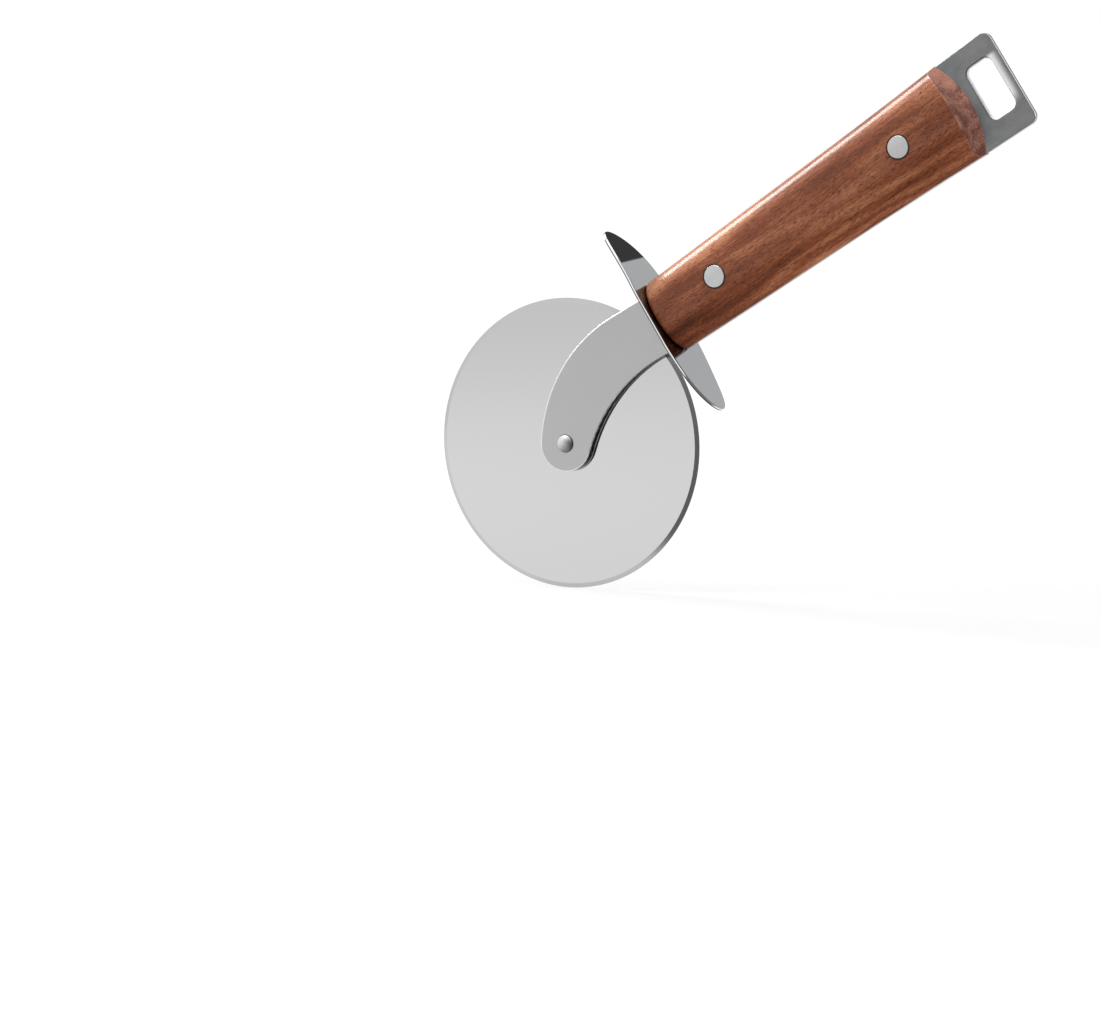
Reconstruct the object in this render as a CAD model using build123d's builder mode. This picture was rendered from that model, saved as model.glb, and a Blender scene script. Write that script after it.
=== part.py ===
from build123d import *
from math import cos, degrees, radians, sin, sqrt
import os

# A pizza cutter: a riveted cutting wheel on a curved steel arm, a finger guard and a walnut handle.
# Millimetres. The origin is the centre of the wheel, the axle lies along Y and the handle rises to +X.
# The arm is on the -Y side of the wheel.

# Cutting wheel
wheel_radius = 50.0
wheel_thickness = 1.2
wheel_bevel_width = 1.5
wheel_edge_thickness = 0.2

# Axle
running_gap = 0.05
shank_radius = 2.0
shank_fit = 0.03
bush_wall = 2.0
washer_radius = 8.0
rear_washer_thickness = 1.0
front_head_radius = 2.9
front_head_height = 1.2
rear_head_radius = 4.5
rear_head_height = 1.8
head_land_share = 0.35

# Steel plate that is the arm, the tang and the hanging tab in one
plate_thickness = 2.0
arm_gap = 0.6
hub_radius = 9.7
arm_edge_round = 0.3
arm_outer_radius = 53.3
arm_outer_angle = 36.6
arm_outer_fall = 5.0
arm_inner_radius = 56.7
arm_inner_angle = 49.8
arm_inner_fall = 8.9
neck_top = 26.3
neck_lead = 3.6
neck_depth = 6.0

# Bare rear end of the plate, with a slot to hang it by
tab_root = 4.6
tab_length = 16.9
tab_offset = 16.1
tab_root_width = 33.3
tab_end_width = 34.3
tab_corner_radius = 2.8
tab_edge_round = 0.2
slot_wall = 3.6
slot_width = 9.8
slot_length = 18.9
slot_offset = 16.3
slot_corner_radius = 2.4
slot_edge_round = 0.75

# Handle, placed by its axis in the middle plane of the plate
handle_angle = 33.16
handle_offset = 16.1
handle_length = 132.6
handle_thickness = 19.4
handle_front_round = 1.6
handle_station_shares = [0, 0.4, 0.7, 1]
handle_widths = [26.4, 29.2, 31.2, 34.4]
crown_radius = 34.0
crown_shoulder_heights = [3.8, 6.4]
crown_shoulder_drops = [2.6, 3.1]
crown_rim_drop = 4.6

# Handle rivets, each a headed post and a headed pin pressed into it
front_rivet_inset = 26.7
rear_rivet_inset = 26.3
rivet_head_radius = 3.8
rivet_head_thickness = 1.8
rivet_head_round = 0.25
rivet_head_gap = 0.15
rivet_post_radius = 2.5
rivet_post_gap = 0.1
rivet_pin_radius = 1.7
rivet_pin_fit = 0.03
rivet_web = 2.5
rivet_end_gap = 0.7

# Finger guard
guard_wheel_gap = 5.6
guard_thickness = 1.2
guard_offset = 15.8
guard_half_length = 36.9
guard_half_width = 11.7
guard_side_cut = 0.35
guard_outline_power = 2.16
guard_flat_top = 13.6
guard_flat_bottom = 20.4
guard_top_radius = 73.0
guard_bottom_radius = 109.0
guard_slot_fit = 0.05
guard_edge_round = 0.3

overrun = 1.0

# Stations across the thickness, along Y
wheel_face = wheel_thickness / 2
bush_end = wheel_face + running_gap
arm_back = -(wheel_face + arm_gap)
arm_front = arm_back - plate_thickness
plate_middle = (arm_back + arm_front) / 2
half_plate = plate_thickness / 2
rear_washer_back = bush_end + rear_washer_thickness

# Stations along the handle: the guard clears the rim of the wheel, and the wood starts behind it
guard_front = wheel_radius + guard_wheel_gap
handle_start = guard_front + guard_thickness
neck_start = guard_front - neck_lead

# Directions of the handle, and the plane of the plate with its X along the handle and Y across it
along = Vector(cos(radians(handle_angle)), 0, sin(radians(handle_angle)))
across = Vector(-sin(radians(handle_angle)), 0, cos(radians(handle_angle)))
plate_plane = Plane(origin=(0, plate_middle, 0), x_dir=along, z_dir=(0, -1, 0))


def axis_point(station):
    """The point of the handle's axis at this distance along it from the wheel's centre."""
    return plate_plane.from_local_coords(Vector(station, handle_offset, 0))


def cross_plane(station):
    """A plane across the handle, with its X across the width and its Y towards the arm's side."""
    return Plane(origin=axis_point(station), x_dir=across, z_dir=along)


def lengthwise_plane(station):
    """A plane through the handle's axis, with its X along the handle and its Y along the axle."""
    return Plane(origin=axis_point(station), x_dir=along, z_dir=across)


def station_of(shape):
    """How far along the handle the middle of a face or an edge lies."""
    return plate_plane.to_local_coords(shape.center()).X


# Cutting wheel: a flat disc, bevelled from both sides to a thin edge
bush_radius = shank_radius + bush_wall
wheel_bore_radius = bush_radius + running_gap
wheel_flat_radius = wheel_radius - wheel_bevel_width
wheel_half_edge = wheel_edge_thickness / 2
with BuildPart() as cutting_wheel:
    with BuildSketch(Plane.XY):
        with BuildLine():
            Polyline(
                (wheel_bore_radius, -wheel_face),
                (wheel_flat_radius, -wheel_face),
                (wheel_radius, -wheel_half_edge),
                (wheel_radius, wheel_half_edge),
                (wheel_flat_radius, wheel_face),
                (wheel_bore_radius, wheel_face),
                close=True,
            )
        make_face()
    revolve(axis=Axis.Y)

# Bush that the wheel turns on, a little longer than the wheel is thick
bore_radius = shank_radius + shank_fit
axle_plane = Plane(origin=(0, 0, 0), x_dir=(1, 0, 0), z_dir=(0, 1, 0))
with BuildPart() as wheel_bush:
    with BuildSketch(axle_plane):
        Circle(bush_radius)
        Circle(bore_radius, mode=Mode.SUBTRACT)
    extrude(amount=bush_end, both=True)

# Washers that keep the wheel off the arm and off the rear head of the rivet
washers = []
for washer_low, washer_high in [(arm_back, -bush_end), (bush_end, rear_washer_back)]:
    with BuildPart() as washer:
        with BuildSketch(axle_plane.offset(washer_low)):
            Circle(washer_radius)
            Circle(bore_radius, mode=Mode.SUBTRACT)
        extrude(amount=washer_high - washer_low)
    washers.append(washer.part)

# Axle rivet: a shank with a low domed head on each side
front_land = arm_front - front_head_height * head_land_share
front_crown = arm_front - front_head_height
rear_land = rear_washer_back + rear_head_height * head_land_share
rear_crown = rear_washer_back + rear_head_height
with BuildPart() as axle_rivet:
    with BuildSketch(Plane.XY):
        with BuildLine():
            front_dome = TangentArc((0, front_crown), (front_head_radius, front_land), tangent=(1, 0))
            rear_dome = TangentArc((0, rear_crown), (rear_head_radius, rear_land), tangent=(1, 0))
            Polyline(
                front_dome @ 1,
                (front_head_radius, arm_front),
                (shank_radius, arm_front),
                (shank_radius, rear_washer_back),
                (rear_head_radius, rear_washer_back),
                rear_dome @ 1,
            )
            Line(rear_dome @ 0, front_dome @ 0)
        make_face()
    revolve(axis=Axis.Y)

# Blank of the handle: an oval that widens towards the rear, its front rim rounded
handle_end = handle_start + handle_length
handle_rear_width = handle_widths[-1]
with BuildPart() as handle_blank:
    for station_share, section_width in zip(handle_station_shares, handle_widths):
        with BuildSketch(cross_plane(handle_start + handle_length * station_share)):
            Ellipse(section_width / 2, handle_thickness / 2)
    loft()
    front_end = faces().sort_by(lambda f: station_of(f))[0]
    fillet(front_end.edges(), handle_front_round)

# Arm: a hub disc that an outer and an inner arc join to the neck, both tangent to the disc
neck_end = handle_start + neck_depth
outer_turn = 180 - arm_outer_angle
inner_turn = 180 - arm_inner_angle
outer_reach = arm_outer_radius - hub_radius
inner_reach = arm_inner_radius + hub_radius
outer_s = outer_reach * cos(radians(arm_outer_angle))
outer_n = -outer_reach * sin(radians(arm_outer_angle))
inner_s = inner_reach * cos(radians(arm_inner_angle))
inner_n = -inner_reach * sin(radians(arm_inner_angle))
outer_stop = 90 - arm_outer_fall
inner_stop = 90 - arm_inner_fall
neck_bottom = inner_n + arm_inner_radius * cos(radians(arm_inner_fall))
with BuildPart() as arm:
    with BuildSketch(plate_plane):
        with BuildLine():
            CenterArc((0, 0), hub_radius, outer_turn, 360 - arm_inner_angle - outer_turn)
            outer_edge = CenterArc((outer_s, outer_n), arm_outer_radius, outer_turn, outer_stop - outer_turn)
            inner_edge = CenterArc((inner_s, inner_n), arm_inner_radius, inner_turn, inner_stop - inner_turn)
            Polyline(
                outer_edge @ 1,
                (neck_start, neck_top),
                (neck_end, neck_top),
                (neck_end, neck_bottom),
                inner_edge @ 1,
            )
        make_face()
    extrude(amount=half_plate, both=True)
    arm_outline = faces().filter_by(Axis.Y).edges()
    fillet(arm_outline.filter_by(lambda e: station_of(e) < neck_start - overrun), arm_edge_round)

# Hanging tab: it widens a little towards its rounded rear corners
tab_start = handle_end - tab_root
tab_end = handle_end + tab_length
slot_station = tab_end - slot_wall - slot_width / 2
with BuildPart() as hanging_tab:
    with BuildSketch(plate_plane):
        with BuildLine():
            Polyline(
                (tab_start, tab_offset - tab_root_width / 2),
                (tab_end, tab_offset - tab_end_width / 2),
                (tab_end, tab_offset + tab_end_width / 2),
                (tab_start, tab_offset + tab_root_width / 2),
                close=True,
            )
        make_face()
        fillet(vertices().sort_by(Axis.X)[-2:], tab_corner_radius)
    extrude(amount=half_plate, both=True)
    tab_outline = faces().filter_by(Axis.Y).edges()
    fillet(tab_outline.filter_by(lambda e: station_of(e) > tab_start + overrun), tab_edge_round)
    with BuildSketch(plate_plane):
        with Locations((slot_station, slot_offset)):
            RectangleRounded(slot_width, slot_length, slot_corner_radius)
    extrude(amount=plate_thickness, both=True, mode=Mode.SUBTRACT)
    slot_rims = [edge for face in faces().filter_by(Axis.Y) for wire in face.inner_wires() for edge in wire.edges()]
    fillet(slot_rims, slot_edge_round)

# Tang plate: the arm, the tang between the wooden scales and the tab, in one piece of sheet
front_rivet_station = handle_start + front_rivet_inset
rear_rivet_station = handle_end - rear_rivet_inset
rivet_stations = [front_rivet_station, rear_rivet_station]
rivet_hole_radius = rivet_post_radius + rivet_post_gap
with BuildPart() as tang_plate:
    add(handle_blank.part)
    with BuildSketch(plate_plane):
        with Locations(((handle_start + tab_start) / 2, handle_offset)):
            Rectangle(tab_start - handle_start, handle_rear_width + overrun)
    extrude(amount=half_plate, both=True, mode=Mode.INTERSECT)
    add(arm.part)
    add(hanging_tab.part)
    with BuildSketch(plate_plane):
        Circle(bore_radius)
        with Locations(*[(rivet_station, handle_offset) for rivet_station in rivet_stations]):
            Circle(rivet_hole_radius)
    extrude(amount=plate_thickness, both=True, mode=Mode.SUBTRACT)

# Cutter for the rear end of the wood: all that lies outside a barrel set across the handle, whose
# crown carries the full radius over the plate and falls away to the rim of the wood on both sides
crown_station = handle_end - crown_radius
crown_reach = handle_thickness / 2 + overrun
crown_rim = crown_radius - crown_rim_drop
shoulders = [(crown_radius - drop, height) for drop, height in zip(crown_shoulder_drops, crown_shoulder_heights)]
crown_side = [(crown_radius, half_plate)] + shoulders + [(crown_rim, crown_reach)]
with BuildPart() as crown_cutter:
    with BuildSketch(plate_plane):
        with Locations(((crown_station + tab_end) / 2, handle_offset)):
            Rectangle(tab_end - crown_station, handle_rear_width + 2 * overrun)
    extrude(amount=crown_reach, both=True)
    with BuildSketch(lengthwise_plane(crown_station)):
        with BuildLine():
            Spline(*crown_side)
            Spline(*[(reach, -height) for reach, height in crown_side])
            Line((crown_radius, -half_plate), (crown_radius, half_plate))
            Polyline((crown_rim, crown_reach), (0, crown_reach), (0, -crown_reach), (crown_rim, -crown_reach))
        make_face()
    revolve(axis=Axis(axis_point(crown_station), (0, 1, 0)), mode=Mode.SUBTRACT)

# Wooden scales, bored and counterbored for the rivets: the one on the arm's side comes first
head_seat = handle_thickness / 2 - rivet_head_thickness
scales = []
for side in [1, -1]:
    with BuildPart() as scale:
        add(handle_blank.part)
        add(crown_cutter.part, mode=Mode.SUBTRACT)
        with BuildSketch(plate_plane.offset(side * half_plate)):
            with Locations(((handle_start + tab_end) / 2, handle_offset)):
                Rectangle(tab_end - handle_start, handle_rear_width + overrun)
        extrude(amount=side * handle_thickness, mode=Mode.INTERSECT)
        with BuildSketch(plate_plane):
            with Locations(*[(rivet_station, handle_offset) for rivet_station in rivet_stations]):
                Circle(rivet_hole_radius)
        extrude(amount=side * handle_thickness, mode=Mode.SUBTRACT)
        with BuildSketch(plate_plane.offset(side * head_seat)):
            with Locations(*[(rivet_station, handle_offset) for rivet_station in rivet_stations]):
                Circle(rivet_head_radius + rivet_head_gap)
        extrude(amount=side * handle_thickness, mode=Mode.SUBTRACT)
    scales.append(scale.part)

# Rivet halves, their heads ground to the curve of the wood; the hollow post is on the arm's side
rivet_span = 2 * head_seat
post_end = head_seat - (rivet_span - rivet_end_gap)
pin_end = head_seat - (rivet_span - rivet_web - rivet_end_gap)
head_top = handle_thickness / 2 + overrun
post_bore_radius = rivet_pin_radius + rivet_pin_fit
post_profile = [
    (0, head_top),
    (rivet_head_radius, head_top),
    (rivet_head_radius, head_seat),
    (rivet_post_radius, head_seat),
    (rivet_post_radius, post_end),
    (post_bore_radius, post_end),
    (post_bore_radius, head_seat - rivet_web),
    (0, head_seat - rivet_web),
]
pin_profile = [
    (0, head_top),
    (rivet_head_radius, head_top),
    (rivet_head_radius, head_seat),
    (rivet_pin_radius, head_seat),
    (rivet_pin_radius, pin_end),
    (0, pin_end),
]
rivet_halves = []
for rivet_station in rivet_stations:
    for side, rivet_profile in [(1, post_profile), (-1, pin_profile)]:
        with BuildPart() as rivet_half:
            with BuildSketch(lengthwise_plane(rivet_station)):
                with BuildLine():
                    Polyline(*[(radius, -side * height) for radius, height in rivet_profile], close=True)
                make_face()
            revolve(axis=Axis(axis_point(rivet_station), (0, 1, 0)))
            add(handle_blank.part, mode=Mode.INTERSECT)
            head_face = faces().sort_by(lambda f: f.center().Y * side)[0]
            fillet(head_face.edges(), rivet_head_round)
        rivet_halves.append(rivet_half.part)

# Finger guard: a bent sheet with a long oval outline, its long sides cut flat, slotted over the neck
# and set against the wood
guard_reach = guard_half_length + overrun
guard_top = guard_offset + guard_flat_top
guard_bottom = guard_offset - guard_flat_bottom
top_bend = (handle_start - guard_top_radius, guard_top)
bottom_bend = (handle_start + guard_bottom_radius, guard_bottom)
top_bend_angle = degrees((guard_reach - guard_flat_top) / (guard_top_radius - guard_thickness))
bottom_bend_angle = degrees((guard_reach - guard_flat_bottom) / guard_bottom_radius)
guard_shift = guard_offset - handle_offset
oval_half_width = guard_half_width + guard_side_cut
guard_outline_steps = 12
guard_outline_points = []
for step in range(4 * guard_outline_steps):
    outline_angle = radians(90) * step / guard_outline_steps
    length_share = sin(outline_angle)
    width_share = sqrt(max(0, 1 - abs(length_share) ** guard_outline_power))
    width_sign = 1 if cos(outline_angle) >= 0 else -1
    outline_x = guard_shift + guard_half_length * length_share
    guard_outline_points.append((outline_x, width_sign * oval_half_width * width_share))
with BuildPart() as finger_guard:
    with BuildSketch(plate_plane):
        with BuildLine():
            rear_top = CenterArc(top_bend, guard_top_radius, 0, top_bend_angle)
            front_top = CenterArc(top_bend, guard_top_radius - guard_thickness, 0, top_bend_angle)
            rear_bottom = CenterArc(bottom_bend, guard_bottom_radius, 180, bottom_bend_angle)
            front_bottom = CenterArc(bottom_bend, guard_bottom_radius + guard_thickness, 180, bottom_bend_angle)
            Line((handle_start, guard_bottom), (handle_start, guard_top))
            Line((guard_front, guard_bottom), (guard_front, guard_top))
            Line(rear_top @ 1, front_top @ 1)
            Line(rear_bottom @ 1, front_bottom @ 1)
        make_face()
    extrude(amount=guard_half_width, both=True)
    with BuildSketch(cross_plane(handle_start)):
        with BuildLine():
            Spline(*guard_outline_points, periodic=True)
        make_face()
    extrude(amount=guard_half_width, both=True, mode=Mode.INTERSECT)
    guard_rims = edges()
    fillet(guard_rims, guard_edge_round)
    with BuildSketch(cross_plane(handle_start)):
        with Locations(((neck_top + neck_bottom) / 2 - handle_offset, 0)):
            Rectangle(neck_top - neck_bottom + 2 * guard_slot_fit, plate_thickness + 2 * guard_slot_fit)
    extrude(amount=guard_half_width, both=True, mode=Mode.SUBTRACT)

pieces = {
    "cutting_wheel": cutting_wheel.part,
    "wheel_bush": wheel_bush.part,
    "front_washer": washers[0],
    "rear_washer": washers[1],
    "axle_rivet": axle_rivet.part,
    "tang_plate": tang_plate.part,
    "finger_guard": finger_guard.part,
    "front_scale": scales[0],
    "rear_scale": scales[1],
    "front_rivet_post": rivet_halves[0],
    "front_rivet_pin": rivet_halves[1],
    "rear_rivet_post": rivet_halves[2],
    "rear_rivet_pin": rivet_halves[3],
}
os.makedirs("parts", exist_ok=True)
for name, piece in pieces.items():
    piece.label = name
    export_step(piece, f"parts/{name}.step")
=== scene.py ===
# %% [markdown]
# A pizza cutter wheel, dressed for a studio picture. The solids of the cutter arrive from the packed
# CAD model as a fixed frame, in metres, with the wheel's centre at the origin. This notebook gives
# them a camera, a white studio, and finishes of steel and walnut.

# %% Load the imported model
import math

import bpy
import numpy as np
from mathutils import Matrix, Vector


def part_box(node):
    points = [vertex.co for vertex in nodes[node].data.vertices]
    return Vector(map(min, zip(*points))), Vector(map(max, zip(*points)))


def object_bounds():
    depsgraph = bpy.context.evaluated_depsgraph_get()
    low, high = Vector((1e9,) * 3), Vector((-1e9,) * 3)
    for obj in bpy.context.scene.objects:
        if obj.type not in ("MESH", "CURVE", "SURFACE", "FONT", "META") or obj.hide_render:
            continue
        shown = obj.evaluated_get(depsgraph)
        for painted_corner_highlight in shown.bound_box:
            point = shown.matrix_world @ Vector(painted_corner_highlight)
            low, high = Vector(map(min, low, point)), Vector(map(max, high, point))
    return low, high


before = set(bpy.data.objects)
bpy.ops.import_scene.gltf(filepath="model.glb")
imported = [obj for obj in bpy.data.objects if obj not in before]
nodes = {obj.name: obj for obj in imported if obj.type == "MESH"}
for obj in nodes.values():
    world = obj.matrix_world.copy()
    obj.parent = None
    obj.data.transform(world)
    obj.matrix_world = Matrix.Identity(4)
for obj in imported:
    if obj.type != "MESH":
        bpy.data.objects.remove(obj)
cad_low, cad_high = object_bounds()
print("nodes", sorted(nodes))
print("box", tuple(cad_low), tuple(cad_high))

# %% [markdown]
# The camera stands in front of the arm's side and a little to the right, low over the table. Its
# place was worked out from the round rim of the wheel, which looks like an ellipse in the picture.
# The axes of a camera are built from its two angles: one vector points back from the object to the
# camera, one to the right, and one up. It aims at the wheel's front face, and from there it is moved
# sideways and down until the whole cutter sits in the picture as it should.

# %% Camera
MM = 0.001
azimuth, elevation = math.radians(28.769), math.radians(5.799)
back = Vector((
    math.sin(azimuth) * math.cos(elevation),
    -math.cos(azimuth) * math.cos(elevation),
    math.sin(elevation),
))
right = Vector((math.cos(azimuth), math.sin(azimuth), 0.0))
up = back.cross(right)
camera_distance, shift_right, shift_up = 1500.0, -6.529, -24.063
wheel_face = Vector((0, -0.6, 0))
camera_place = back * camera_distance + right * shift_right + up * shift_up + wheel_face
camera_data = bpy.data.cameras.new("camera")
camera_data.sensor_fit = "HORIZONTAL"
camera_data.sensor_width = 36.0
camera_data.lens = 142.721
camera_data.clip_start, camera_data.clip_end = 0.01, 50.0
camera = bpy.data.objects.new("camera", camera_data)
bpy.context.scene.collection.objects.link(camera)
turn = Matrix((right, up, back)).transposed().to_4x4()
camera.matrix_world = Matrix.Translation(camera_place * MM) @ turn
bpy.context.scene.camera = camera
bpy.context.scene.view_settings.view_transform = "Standard"
print("camera at", tuple(round(v, 4) for v in camera.location))

# %% [markdown]
# Shader maths reads best as sums. This class wraps one output of a node, and each operator on it adds
# one Math node, so `1 - mask * 0.5` builds what it says. Two soft steps, a rise and a fall, make
# nearly all the masks of this notebook.


# %% An output that can be reckoned with
class Sock:
    """An output of a node. Python's operators on it add Math nodes to the same material."""

    def __init__(self, shader, socket):
        self.shader, self.socket = shader, socket

    def maths(self, operation, first, second=0.0):
        return self.shader.node("ShaderNodeMath", {"operation": operation}, {0: first, 1: second})

    def __add__(self, other):
        return self.maths("ADD", self, other)

    def __sub__(self, other):
        return self.maths("SUBTRACT", self, other)

    def __rsub__(self, other):
        return self.maths("SUBTRACT", other, self)

    def __mul__(self, other):
        return self.maths("MULTIPLY", self, other)

    def __truediv__(self, other):
        return self.maths("DIVIDE", self, other)

    def __pow__(self, other):
        return self.maths("POWER", self, other)

    def __abs__(self):
        return self.maths("ABSOLUTE", self)

    __radd__, __rmul__ = __add__, __mul__

    def sine(self):
        return self.maths("SINE", self)

    def rise(self, low, high):
        """0 below low, 1 above high, and a smooth rise from one to the other."""
        limits = {"Value": self, "From Min": low, "From Max": high}
        return self.shader.node("ShaderNodeMapRange", {"interpolation_type": "SMOOTHSTEP"}, limits)

    def fall(self, low, high):
        """1 below low, 0 above high, and a smooth fall from one to the other."""
        return 1 - self.rise(low, high)


def distance(first, second):
    """How far apart two places are, from their offsets in two directions that are square."""
    return (first * first + second * second) ** 0.5


# %% [markdown]
# All other nodes come from one method that takes the kind of node, its settings, and the values or
# links of its sockets. Noise is asked for by the size of its lumps, one length or three, because a
# brushed line or a wood fibre is just a long thin lump.


# %% The nodes of a material
class Shader:
    """The nodes of one material or of the world."""

    def __init__(self, owner):
        owner.use_nodes = True
        self.tree = owner.node_tree
        self.tree.nodes.clear()

    def node(self, kind, settings=None, sockets=None, output=0):
        made = self.tree.nodes.new(kind)
        for key, value in (settings or {}).items():
            if key == "stops":
                self.fill_ramp(made.color_ramp, value)
            else:
                setattr(made, key, value)
        for key, value in (sockets or {}).items():
            if isinstance(value, Sock):
                self.tree.links.new(value.socket, made.inputs[key])
            else:
                made.inputs[key].default_value = value
        return Sock(self, made.outputs[output]) if len(made.outputs) else None

    def fill_ramp(self, ramp, stops):
        while len(ramp.elements) < len(stops):
            ramp.elements.new(0.5)
        for element, (position, colour) in zip(ramp.elements, stops):
            element.position, element.color = position, rgba(colour)

    def outputs(self, kind, sockets=None):
        """All the outputs of a new node, by name."""
        made = self.node(kind, None, sockets).socket.node
        return {output.name: Sock(self, output) for output in made.outputs}

    def parts(self, vector):
        """The three components of a vector."""
        return self.outputs("ShaderNodeSeparateXYZ", {0: vector}).values()

    def mix(self, factor, first, second):
        """A colour between two others. The Mix node takes colours at 6 and 7 and gives one at 2."""
        sockets = {0: factor, 6: rgba(first), 7: rgba(second)}
        return self.node("ShaderNodeMix", {"data_type": "RGBA"}, sockets, 2)

    def noise(self, vector, lumps, detail=2.0, roughness=0.5):
        """Noise about 0.5, with lumps of one length or of three, in the vector's own unit."""
        steps = tuple(1.0 / np.broadcast_to(lumps, 3))
        place = self.node("ShaderNodeVectorMath", {"operation": "MULTIPLY"}, {0: vector, 1: steps})
        sockets = {"Vector": place, "Scale": 1.0, "Detail": detail, "Roughness": roughness}
        return self.node("ShaderNodeTexNoise", {"noise_dimensions": "3D"}, sockets)


def rgba(colour):
    return colour if isinstance(colour, Sock) else (*colour, 1.0)


def grey(level):
    return (level, level, level)


# %% [markdown]
# The studio is a pale table in a white room. The table is a plain round sheet. Seen by the camera, or
# in a mirror, it is nearly white by itself and keeps a part of its own light and shade, so that the
# cutter's shadow stays on it. Far from the cutter it glows fully, so it ends without a horizon. A
# black card lies on it, in front of the cutter and to the right. Only mirrors see the card, so it is
# a part of the table's material and not a piece.

# %% Table
table_top, table_reach, rim_points = cad_low.z, 4.0, 96
angles = np.linspace(0, 2 * math.pi, rim_points, endpoint=False)
rim = [np.cos(angles) * table_reach, np.sin(angles) * table_reach, np.full(rim_points, table_top)]
table_mesh = bpy.data.meshes.new("table")
table_mesh.from_pydata(np.stack(rim, 1).tolist(), [], [list(range(rim_points))])
table = bpy.data.objects.new("table", table_mesh)
bpy.context.scene.collection.objects.link(table)

table_material = bpy.data.materials.new("pale_table")
paint = Shader(table_material)
matt = paint.node("ShaderNodeBsdfDiffuse", None, {"Color": rgba(grey(0.78))})
black = paint.node("ShaderNodeBsdfDiffuse", None, {"Color": rgba(grey(0.03))})
glow = paint.node("ShaderNodeEmission", None, {"Color": rgba(grey(1.0)), "Strength": 1.08})
rays = paint.outputs("ShaderNodeLightPath")
mirrored = rays["Is Glossy Ray"] + rays["Is Transmission Ray"]
table_x, table_y, table_z = paint.parts(paint.node("ShaderNodeTexCoord", None, None, "Object"))
far = distance(table_x, table_y).rise(0.12, 0.75)
glow_share = rays["Is Camera Ray"] * (0.70 + far * 0.30) + mirrored * (0.6 + far * 0.1)
cover = paint.node("ShaderNodeMixShader", None, {0: glow_share, 1: matt, 2: glow})
card_share = mirrored * table_x.rise(0.0, 0.02) * (0 - table_y).rise(0.01, 0.04) * 0.85
flagged = paint.node("ShaderNodeMixShader", None, {0: card_share, 1: cover, 2: black})
paint.node("ShaderNodeOutputMaterial", None, {"Surface": flagged})
table_mesh.materials.append(table_material)
print("table at", round(table_top, 4))

# %% [markdown]
# Metal only looks like metal when it has something to mirror. The camera sees plain white all round.
# The room that the steel sees is light grey behind the cutter up to a crisp edge, with a slightly
# darker band just under that edge, and nearly black above it. It is dim in front, where a
# photographer stands, and a dark flag hangs on the right. A picture of a studio could stand round the
# cutter instead, but these few sums say what each part of the room is for.

# %% Room
world = bpy.data.worlds.new("white_room")
bpy.context.scene.world = world
room = Shader(world)
east, north, height = room.parts(room.node("ShaderNodeTexCoord", None, None, "Generated"))
room_rays = room.outputs("ShaderNodeLightPath")
camera_ray, glossy_ray = room_rays["Is Camera Ray"], room_rays["Is Glossy Ray"]
back_wall = north.rise(0.3, 0.6)
over_edge = height.rise(0.4515, 0.4535)
band = back_wall * height.rise(0.32, 0.34) * (1 - over_edge)
dark_wall = back_wall * over_edge * height.fall(0.62, 0.75)
front = (east * 0.45 - north * 0.89).rise(0.55, 0.85) * height.fall(0.3, 0.5)
flag = east.rise(0.35, 0.5) * north.fall(0.0, 0.2) * height.rise(0.25, 0.35) * (1 - dark_wall)
dim = dark_wall * (1 - front) * 0.925 + front * 0.78 + band * 0.2 + flag * (1 - front) * 0.85
room_light = 0.45 * (1 - glossy_ray) + (1 - dim) * glossy_ray
sky = camera_ray + room_light * (1 - camera_ray)
lit_room = room.node("ShaderNodeBackground", None, {"Color": rgba(grey(1.0)), "Strength": sky})
room.node("ShaderNodeOutputWorld", None, {"Surface": lit_room})
print("room with", len(room.tree.nodes), "nodes")

# %% [markdown]
# Two soft lamps do the rest: a wide one overhead, and one on the left and a little behind, whose
# reflection is the long highlight on the upper side of the handle.

# %% Lamps
lamp_aim = Vector((0.08, 0, 0.06))


def soft_lamp(name, place, height, width, watts):
    """A rectangular lamp at place, metres, turned to face the cutter: its height and its width."""
    data = bpy.data.lights.new(name, "AREA")
    data.shape, data.size, data.size_y, data.energy = "RECTANGLE", width, height, watts
    lamp = bpy.data.objects.new(name, data)
    bpy.context.scene.collection.objects.link(lamp)
    facing = (lamp_aim - Vector(place)).to_track_quat("-Z", "Y").to_matrix().to_4x4()
    lamp.matrix_world = Matrix.Translation(place) @ facing
    print("lamp", name, "of", watts, "W")


soft_lamp("overhead_lamp", (-0.35, -0.35, 1.0), 0.7, 0.7, 6.0)
soft_lamp("strip_lamp", (-0.945, 0.19, 0.62), 0.6, 0.36, 11.0)

# %% [markdown]
# Every finish reads the place on the object, in millimetres from the wheel's centre. For the pieces
# along the handle the axes are turned too: one direction then runs along the handle, one through the
# sheet, and one across, so that a brushed line or a wood fibre lies straight. A finish is a table of
# the Principled shader's sockets, and all the steels share one that is fully metallic.

# %% Places and finishes
handle_angle = math.radians(33.16)


def place_of(shader, turn=0.0):
    """The place on the object, in millimetres, on axes turned about the axle."""
    metres = shader.node("ShaderNodeTexCoord", None, None, "Object")
    sockets = {"Vector": metres, "Rotation": (0.0, turn, 0.0), "Scale": (1 / MM,) * 3}
    return shader.node("ShaderNodeMapping", None, sockets)


def steel(colour, rough):
    return {"Base Color": colour, "Metallic": 1.0, "Roughness": rough}


def finish(name, build):
    """Makes a material, lets build() fill a table of Principled sockets, and joins it to the output."""
    material = bpy.data.materials.new(name)
    shader = Shader(material)
    surface = shader.node("ShaderNodeBsdfPrincipled", None, build(shader))
    shader.node("ShaderNodeOutputMaterial", None, {"Surface": surface})
    print("material", name, "with", len(shader.tree.nodes), "nodes")
    return material


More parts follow.
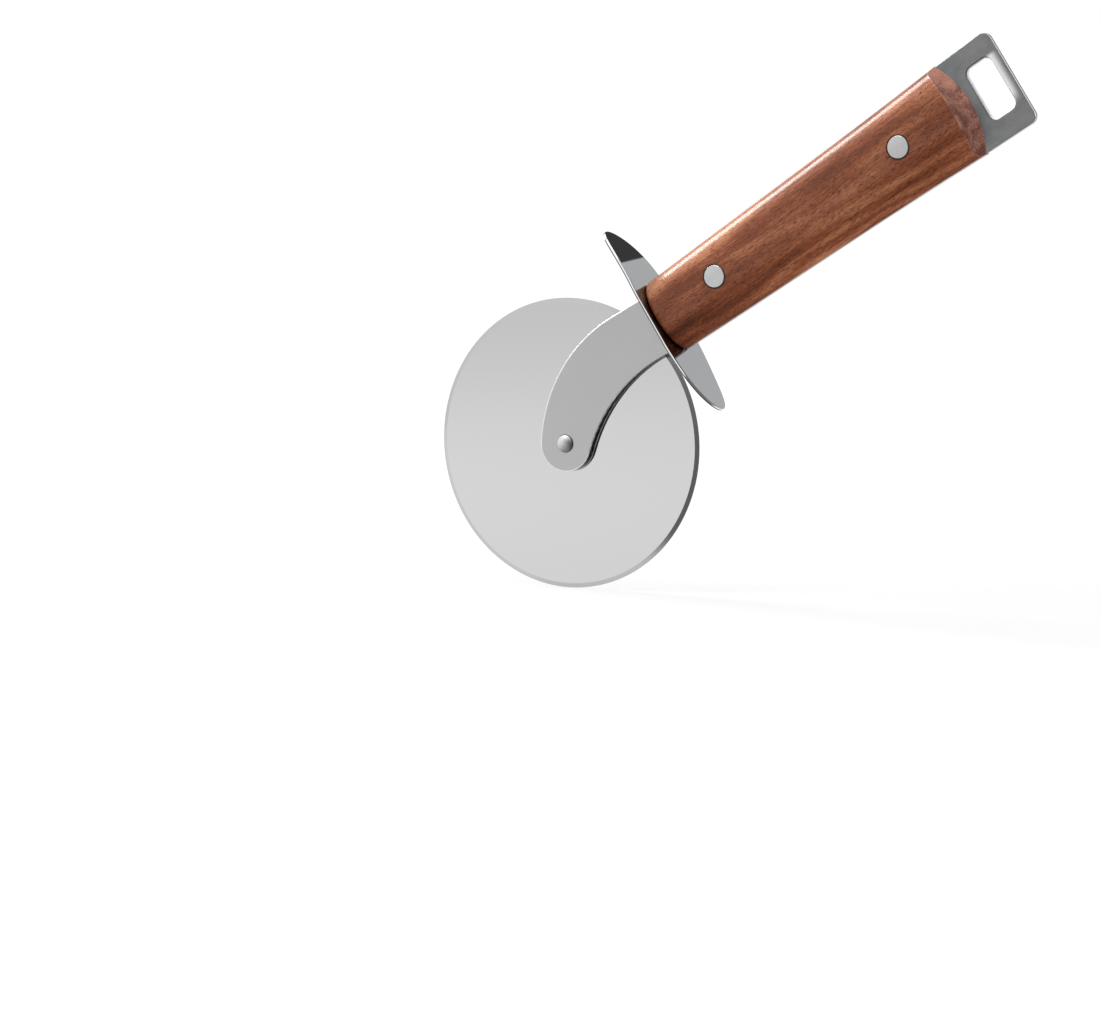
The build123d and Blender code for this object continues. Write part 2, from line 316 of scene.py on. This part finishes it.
# %% [markdown]
# The steel comes in six finishes. All of them are metallic, so their colour is what they do to the
# light that they mirror, and their roughness says how much they blur it. The wheel is polished and
# was ground at its bevel. Its faces and its bevel are one mesh, so the material looks at the distance
# from the axle: past the flat part the steel is darker and rougher, with fine rings.

# %% Polished wheel
wheel_flat_radius, bevel_blur, rings_per_mm = 48.5, 0.05, 9.0


def polished_wheel(shader):
    place = place_of(shader)
    x, y, z = shader.parts(place)
    radius = distance(x, z)
    bevel = radius.rise(wheel_flat_radius - bevel_blur, wheel_flat_radius + bevel_blur)
    ring_place = shader.node("ShaderNodeCombineXYZ", None, {0: radius * rings_per_mm})
    rings = shader.noise(ring_place, 1, 3.0, 0.6)
    haze = shader.noise(place, 14, 3.0)
    colour = shader.mix(bevel * (0.35 + rings * 0.5), grey(0.615), grey(0.48))
    return steel(colour, 0.04 + haze * 0.03 + bevel * (0.10 + rings * 0.10))


wheel_steel = finish("polished_wheel_steel", polished_wheel)

# %% [markdown]
# The arm, the tang and the hanging tab are one sheet of steel. The arm's face is satin. A thin
# painted highlight runs just inside its outline, where the sheared edge is broken and catches the
# light: round the outer arc, along the top of the neck and under the foot, which is the round end at
# the axle. The solid has that small round, but at this size it seldom catches a lamp by itself. So the
# highlight is painted: the material works out how far each place is from the arc, the neck and the
# foot.

# %% Outline of the arm
handle_start, guard_thickness, neck_lead = 56.8, 1.2, 3.6
neck_start, neck_top = handle_start - guard_thickness - neck_lead, 26.3
arc_along, arc_across, arc_radius = 35.0, -26.0, 53.3
arc_end, arc_top = 39.65, 27.1
foot_radius, foot_along, foot_across = 9.7, -0.6845, -0.729
neck_slope = (arc_top - neck_top) / (neck_start - arc_end)


def painted_edge_highlight(along, across, from_axle):
    """The painted highlight inside the arc, the neck and the foot. It is brighter higher up the arm."""
    on_neck = along.rise(arc_end - 0.15, arc_end + 0.05)
    from_arc = distance(along - arc_along, across - arc_across)
    over_arc = from_arc.rise(arc_radius - 0.6, arc_radius - 0.35) * (1 - on_neck)
    level = across + (along - arc_end) * neck_slope
    over_neck = level.rise(arc_top - 0.55, arc_top - 0.3) * along.fall(neck_start, neck_start + 0.2)
    towards_foot = (along * foot_along + across * foot_across) / from_axle
    over_foot = from_axle.rise(foot_radius - 0.55, foot_radius - 0.3) * towards_foot.rise(0.08, 0.14)
    upper = (over_arc + over_neck * on_neck) * (0.45 + across.rise(-10.0, 25.0) * 0.55)
    return upper + over_foot * 0.4


print("neck falls by", round(neck_slope, 4), "to the millimetre")

# %% [markdown]
# The arm's sheared sides get a painted shade, nearly black beside its satin face, and so does the
# crevice round the rivet's head. The masks count from the two faces of the sheet, which the frame
# gives.

# %% Satin arm
plate_low, plate_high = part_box("tang_plate")
front_face, back_face = plate_low.y / MM, plate_high.y / MM
axle_head_radius = 2.9


def between_faces(depth, start, full):
    """0 on both faces of the sheet, and 1 where both are further away than full."""
    behind_front = depth.rise(front_face + start, front_face + full)
    return behind_front * depth.fall(back_face - full, back_face - start)


def arm_colour(shader, along, depth, across, grain):
    cloud = shader.noise(place_of(shader), 18)
    satin = shader.mix(cloud * 0.5 + grain * 0.3, grey(0.51), grey(0.44))
    bare = along.fall(handle_start - 0.1, handle_start + 0.1)
    from_axle = distance(along, across)
    by_head = from_axle.rise(axle_head_radius - 0.05, axle_head_radius)
    # Painted shade in the crevice round the rivet's head.
    painted_crevice_shade = by_head * from_axle.fall(axle_head_radius + 0.15, axle_head_radius + 0.35)
    painted_crevice_shade = painted_crevice_shade * depth.fall(front_face + 0.1, front_face + 0.2)
    # A painted highlight inside the outline, and another along the sheet's front corner.
    line = painted_edge_highlight(along, across, from_axle)
    painted_corner_highlight = depth.rise(front_face + 0.01, front_face + 0.06) * (1 - line)
    painted_corner_highlight = painted_corner_highlight * depth.fall(front_face + 0.2, front_face + 0.25) * bare
    outlined = shader.mix(line + painted_corner_highlight, satin, grey(0.93))
    # Painted shade, nearly black, on the sheared sides and in the crevice.
    painted_side_shade = between_faces(depth, 0.25, 0.3) * bare
    return shader.mix(painted_side_shade + painted_crevice_shade * 0.8, outlined, (0.045, 0.045, 0.048))


print("faces of the plate at", round(front_face, 3), round(back_face, 3))

# %% [markdown]
# The tab is brushed along the handle. It is darker and a little greener than the arm, and the darkness
# is a painted reflection of a darker room; next to the wood it is darker and greener still. Its long
# sides are painted a lighter grey, a painted highlight. Its end has a painted highlight in front and a
# painted shade behind. The rim of the hanging slot is rounded, and it is painted white as a highlight,
# as is the face just beyond the slot.

# %% Masks of the hanging tab
handle_length, tab_length = 132.6, 16.9
handle_end = handle_start + handle_length
tab_end = handle_end + tab_length
slot_wall, slot_half_width, slot_half_length = 3.6, 4.9, 9.45
slot_end = tab_end - slot_wall
slot_along, slot_across = slot_end - slot_half_width, 16.3
plate_middle = (front_face + back_face) / 2


def tab_masks(along, depth, across):
    """Shares of the tab's outer edges, its end, the slot's rim and the white painted highlight beyond
    it.
    """
    across_slot = abs(along - slot_along).fall(slot_half_width + 0.7, slot_half_width + 0.9)
    along_slot = abs(across - slot_across).fall(slot_half_length + 0.75, slot_half_length + 0.95)
    in_slot = across_slot * along_slot
    walls = between_faces(depth, 0.2, 0.25)
    end_face = along.rise(tab_end - 0.7, tab_end - 0.2)
    end_corner = depth.rise(front_face + 0.02, front_face + 0.08) * end_face
    edge = (walls + end_corner * (1 - walls)) * (1 - in_slot)
    slot_rim = between_faces(depth, 0.02, 0.3) * in_slot
    # A white painted highlight on the face just beyond the slot.
    beyond = along.rise(slot_end - 0.8, slot_end - 0.6) * along.fall(slot_end + 0.5, slot_end + 3.3)
    painted_glare = beyond * across.rise(slot_across - 9.3, slot_across - 4.3)
    painted_glare = painted_glare * across.fall(slot_across + 8.7, slot_across + 10.2)
    return edge, end_face, slot_rim, painted_glare


def tab_colour(shader, place, along, depth, lines, masks):
    edge, end_face, slot_rim, painted_glare = masks
    patches = shader.noise(place, 9, 3.0, 0.6)
    # The tab's darker tint is a painted reflection of a darker room, darker and greener by the wood.
    from_wood = along.rise(handle_end - 0.4, handle_end + 4.6)
    painted_reflection_tint = shader.mix(from_wood, (0.155, 0.185, 0.185), (0.19, 0.195, 0.195))
    brushed = shader.mix((lines * 0.5 + patches * 0.5).rise(0.3, 0.75), painted_reflection_tint, grey(0.31))
    # Painted highlight on the front half of the end, and painted shade on its back half.
    painted_end_light_and_shade = shader.mix(depth.rise(plate_middle - 0.15, plate_middle - 0.05), grey(0.95), grey(0.10))
    # The long sides get a painted highlight of lighter grey.
    edged = shader.mix(edge, brushed, shader.mix(end_face, grey(0.42), painted_end_light_and_shade))
    # The slot's rim and the face beyond it get a white painted highlight.
    return shader.mix((slot_rim + painted_glare * (1 - slot_rim)) * (1 - edge), edged, grey(0.95))


print("slot ends at", round(slot_end, 2), "and the tab at", round(tab_end, 2))

# %% [markdown]
# The plate's material joins the two ends under the wood, where nobody sees the change. A very low
# relief breaks up what they mirror: a fine grain on the arm, and brushed lines on the tab.

# %% Satin plate
finish_change = 170.0
brush_lumps = (5.0, 1.0, 0.25)
relief_height = 0.004


def satin_plate(shader):
    place = place_of(shader, handle_angle)
    along, depth, across = shader.parts(place)
    grain = shader.noise(place_of(shader), 0.25)
    lines = shader.noise(place, brush_lumps, 4.0, 0.65)
    masks = tab_masks(along, depth, across)
    edge, end_face, slot_rim, painted_glare = masks
    tab = along.rise(finish_change, finish_change + 1.0)
    arm_steel = arm_colour(shader, along, depth, across, grain)
    tab_steel = tab_colour(shader, place, along, depth, lines, masks)
    colour = shader.mix(tab, arm_steel, tab_steel)
    rough = 0.30 + grain * 0.08 + tab * (lines - 0.5) * 0.3 + slot_rim * tab * 0.3
    relief = grain * (1 - tab) + lines * tab * 2.0 * (1 - edge) * (1 - slot_rim)
    bump = {"Height": relief, "Strength": 1.0, "Distance": relief_height * MM}
    return {**steel(colour, rough), "Normal": shader.node("ShaderNodeBump", None, bump)}


plate_steel = finish("satin_plate_steel", satin_plate)

# %% [markdown]
# The finger guard is a mirror. The sheet's edge, seen from the side, gets a painted highlight and a
# painted dark line of shade, so this material has to know how deep in the sheet a place is. The sheet
# is flat in the middle and bends forward at its top and backward at its bottom, so the depth is
# counted from a plane there and from an arc at each end. The guard's face where the wood is close is
# darkened too, a painted shade, with its top and bottom edges slanted along the camera's line of sight.

# %% Mirror guard
upper_bend_start, upper_bend_radius = 29.4, 73.0
lower_bend_start, lower_bend_radius = -4.6, 109.0
# Where the painted shade by the wood ends, and how its top and bottom edges lean.
wood_top, top_lean = 29.0, 0.13
wood_bottom, bottom_lean = 3.17, 0.236


def depth_in_sheet(along, across):
    """How deep a place is in the guard's sheet, counted from the face on the wood's side."""
    upper = across.rise(upper_bend_start - 0.1, upper_bend_start + 0.1)
    lower = across.fall(lower_bend_start - 0.1, lower_bend_start + 0.1)
    upper_centre, lower_centre = handle_start - upper_bend_radius, handle_start + lower_bend_radius
    from_upper = distance(along - upper_centre, across - upper_bend_start)
    from_lower = distance(along - lower_centre, across - lower_bend_start)
    flat = (handle_start - along) * (1 - upper) * (1 - lower)
    return flat + (upper_bend_radius - from_upper) * upper + (from_lower - lower_bend_radius) * lower


def mirror_guard(shader):
    along, depth, across = shader.parts(place_of(shader, handle_angle))
    haze = shader.noise(place_of(shader), 6, 3.0)
    sheet_depth = depth_in_sheet(along, across)
    # A painted highlight and a painted line of shade on the sheet's edge.
    painted_rim_shade = sheet_depth.rise(0.60, 0.68) * sheet_depth.fall(1.12, 1.18)
    painted_rim_highlight = sheet_depth.rise(0.2, 0.27) * sheet_depth.fall(1.08, 1.15)
    # Painted shade on the face by the wood.
    under_top = (across - depth * top_lean).fall(wood_top, wood_top + 0.12)
    over_bottom = (across - depth * bottom_lean).rise(wood_bottom, wood_bottom + 0.12)
    painted_wood_shade = under_top * over_bottom * sheet_depth.fall(0.17, 0.24)
    plain = shader.mix(painted_rim_highlight, (0.425, 0.433, 0.44), grey(0.95))
    colour = shader.mix(painted_rim_shade * 0.85 + painted_wood_shade * 0.6, plain, grey(0.03))
    return steel(colour, 0.008 + haze * 0.02)


guard_steel = finish("mirror_guard_steel", mirror_guard)

# %% [markdown]
# The small parts get three plain finishes. The axle rivet's domed head is dull, with a painted
# highlight on its upper left and a painted shade on its lower right. The handle rivets are turned
# flat, with fine lines. The bush and its washers hardly show.

# %% Rivets and washers
turned_lumps = (1 / 7.0, 1.0, 1 / 1.5)


def domed_rivet(shader):
    place = place_of(shader)
    x, y, z = shader.parts(place)
    grain = shader.noise(place, 0.5, 3.0)
    # Painted highlight on the upper left of the dome, and painted shade on its lower right.
    painted_light_side = ((0 - x) * 0.6 + z * 0.8 + grain * 1.2 - 0.6).rise(-2.6, 2.2)
    return steel(shader.mix(painted_light_side, grey(0.20), grey(0.72)), 0.36 + grain * 0.12)


def turned_rivet(shader):
    lines = shader.noise(place_of(shader), turned_lumps, 3.0, 0.6)
    return steel(shader.mix(lines, grey(0.46), grey(0.68)), 0.2 + lines * 0.16)


def plain_steel(shader):
    grain = shader.noise(place_of(shader), 0.5, 3.0)
    return steel(shader.mix(grain, (0.46, 0.46, 0.47), grey(0.56)), 0.3 + grain * 0.1)


rivet_steel = finish("turned_rivet_steel", turned_rivet)
axle_steel = finish("domed_rivet_steel", domed_rivet)
washer_steel = finish("plain_washer_steel", plain_steel)

# %% [markdown]
# Walnut is a solid, not a picture: the same rings run through both scales. The pattern is worked out
# in the handle's own directions. Rings are the distance from a line beside the handle, the heart of
# the tree, bent a little by slow noise. Fibres, streaks and fine lines are noise that is drawn out
# along the grain. A ramp from a dark brown to a warm orange brown turns their sum into wood.

# %% Walnut along the grain
handle_offset = 16.1
heart_depth, heart_across, ring_width = 52.0, -34.0, 5.2
dark_brown, brown, warm_brown = (0.11, 0.028, 0.012), (0.29, 0.085, 0.036), (0.58, 0.235, 0.115)
walnut_stops = [(0.385, dark_brown), (0.55, brown), (0.705, warm_brown)]


def year_rings(shader, place, along, depth, across):
    """A wave of the distance from the tree's heart."""
    drift = shader.noise(place, (60, 22, 22))
    from_heart = distance(depth - heart_depth, across - heart_across)
    ring_count = (from_heart + along * 0.035 + drift * 16.0) / ring_width
    return (ring_count * (2 * math.pi)).sine() * 0.5 + 0.5


def long_grain(shader, place, along, aside, ring, fine):
    """Streaked brown, with painted sheen high on the front end and painted shade low on it."""
    fibre = shader.noise(place, (2.2, 0.2, 0.2), 2.0, 0.6)
    streak = shader.noise(place, (80, 6, 6), 3.0, 0.55)
    # Painted shade low on the front end, and a painted sheen high on it.
    painted_lower_shade = aside.fall(-11.0, -3.0) * along.fall(70.0, 125.0)
    painted_upper_sheen = aside.rise(3.0, 12.0) * (1 - along.rise(75.0, 150.0) * 0.7)
    figure = ring * 0.09 + fine * 0.24 + fibre * 0.30 + streak * 0.46
    tone = figure + painted_upper_sheen * 0.16 - painted_lower_shade * 0.10
    return shader.node("ShaderNodeValToRGB", {"stops": walnut_stops}, {"Fac": tone})


print("rings are", ring_width, "mm wide")

# %% [markdown]
# The rear end of the wood is cut across the grain, so it is mottled and pinker. Seen from the side
# its edge is an arc, the crown, and the arc draws back from the plate outwards. A ramp holds how far:
# each stop pairs a way outwards, in parts of 10 mm, with a drop, in parts of 4 mm. Wood outside the
# arc that is drawn back is end grain, and the rest is long grain.

# %% Walnut across the grain
crown_radius, outward_unit, drop_unit = 34.0, 10.0, 4.0
crown_station = handle_end - crown_radius
crown_drops = [
    (0.10, 0.0), (0.15, 0.24), (0.21, 0.41), (0.27, 0.55),
    (0.33, 0.605), (0.45, 0.71), (0.93, 0.94),
]


def end_share(shader, along, depth, aside):
    """1 on the end of the wood and 0 on its sides."""
    from_crown = distance(along - crown_station, aside)
    stops = [(outward, grey(drop)) for outward, drop in crown_drops]
    outward_share = abs(depth - plate_middle) / outward_unit
    drop_share = shader.node("ShaderNodeValToRGB", {"stops": stops}, {"Fac": outward_share})
    on_end = (from_crown + drop_share * drop_unit - crown_radius).rise(-0.35, -0.15)
    return on_end * along.rise(handle_end - 11.4, handle_end - 10.4)


def end_colour(shader, place, aside):
    dots = shader.noise(place, 0.5, 3.0, 0.6)
    bands = shader.noise(place, (9, 4, 4), 3.0, 0.6)
    # The end is a little lighter towards the top, a painted sheen.
    shade = (dots * 0.45 + bands * 0.55 - aside * 0.004).rise(0.36, 0.62)
    return shader.mix(shade, (0.74, 0.36, 0.27), (0.20, 0.085, 0.070))


print("crown centred at", round(crown_station, 2))

# %% [markdown]
# Last come the marks on the wood. Pores are short dark dashes, noise drawn out along the grain, and
# they show as dots on the end. A dark ring lies round each rivet. The front rim, where the wood meets
# the guard, gets a painted shade. The oil is a thin coat, and thinner on the lower side, which shines
# less.

# %% Oiled walnut
front_rivet_inset, rear_rivet_inset, rivet_head_radius = 26.7, 26.3, 3.8
rivet_stations = (handle_start + front_rivet_inset, handle_end - rear_rivet_inset)


def rivet_seat(along, aside, station):
    from_rivet = distance(along - station, aside)
    outside = from_rivet.rise(rivet_head_radius - 0.1, rivet_head_radius - 0.05)
    return outside * from_rivet.fall(rivet_head_radius + 0.25, rivet_head_radius + 0.55)


def walnut(shader):
    place = place_of(shader, handle_angle)
    along, depth, across = shader.parts(place)
    aside = across - handle_offset
    ring = year_rings(shader, place, along, depth, across)
    fine = shader.noise(place, (18, 0.5, 0.5), 3.0, 0.6)
    pores = shader.noise(place, (1.6, 0.19, 0.19)).rise(0.56, 0.62)
    end = end_share(shader, along, depth, aside)
    body = long_grain(shader, place, along, aside, ring, fine)
    ended = shader.mix(end * 0.8, body, end_colour(shader, place, aside))
    pored = shader.mix(pores * (0.75 - end * 0.5), ended, (0.04, 0.012, 0.006))
    seats = sum(rivet_seat(along, aside, station) for station in rivet_stations)
    # Painted shade on the front rim, where the wood meets the guard.
    painted_front_shade = along.fall(handle_start + 0.05, handle_start + 0.5)
    return {
        "Base Color": shader.mix(seats * 0.85 + painted_front_shade * 0.9, pored, (0.016, 0.011, 0.009)),
        "Roughness": 0.38 + pores * 0.25 + fine * 0.08,
        "Specular IOR Level": 0.03,
        "Coat Weight": aside.rise(-13.5, -7.0) * 0.4 + 0.05,
        "Coat Roughness": 0.18,
    }


wood = finish("oiled_walnut", walnut)

# %% [markdown]
# Each solid keeps its shape and gets its finish in its own material slots.

# %% Dress the solids
finishes = {
    "cutting_wheel": wheel_steel,
    "wheel_bush": washer_steel,
    "front_washer": washer_steel,
    "rear_washer": washer_steel,
    "axle_rivet": axle_steel,
    "tang_plate": plate_steel,
    "finger_guard": guard_steel,
    "front_scale": wood,
    "rear_scale": wood,
    "front_rivet_post": rivet_steel,
    "front_rivet_pin": rivet_steel,
    "rear_rivet_post": rivet_steel,
    "rear_rivet_pin": rivet_steel,
}
for node_name, material in finishes.items():
    mesh = nodes[node_name].data
    if not mesh.materials:
        mesh.materials.append(material)
    for slot in range(len(mesh.materials)):
        mesh.materials[slot] = material
    print(node_name, "in", material.name, "with", len(mesh.polygons), "triangles")
